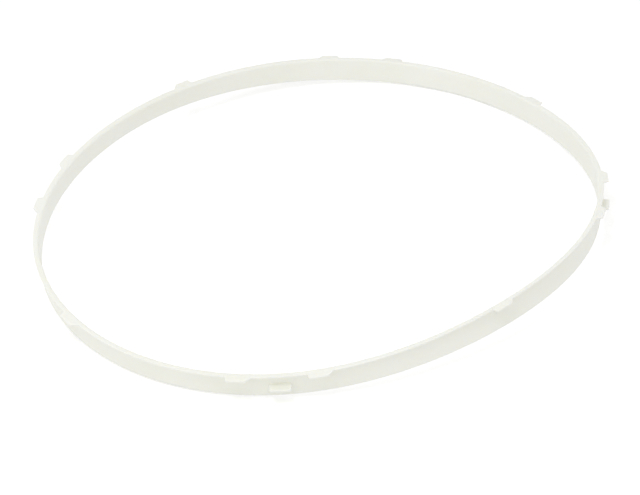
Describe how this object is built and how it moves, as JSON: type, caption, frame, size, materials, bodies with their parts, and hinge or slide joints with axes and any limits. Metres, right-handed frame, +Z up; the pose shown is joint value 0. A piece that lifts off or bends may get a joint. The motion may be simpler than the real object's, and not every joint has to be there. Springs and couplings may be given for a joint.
{
  "type": "dryer drum bearing ring",
  "caption": "Thin white plastic hoop with an outward lip, flat tabs and lower lugs: it clips round a tumble dryer opening and carries the turning drum.",
  "frame": {"origin": "under the middle of the hoop's outline, at the height of its lowest point, where it lies on the ground", "axes": "+Z up along the hoop's own axis, towards the lip; +X to the right and +Y away from the front, as in the picture"},
  "size_m": [0.5918, 0.584, 0.0509],
  "materials": {
    "white_plastic": "satin moulded plastic, slightly warm white"
  },
  "bodies": {
    "root": {"bearing_ring": "white_plastic"}
  },
  "joints": []
}
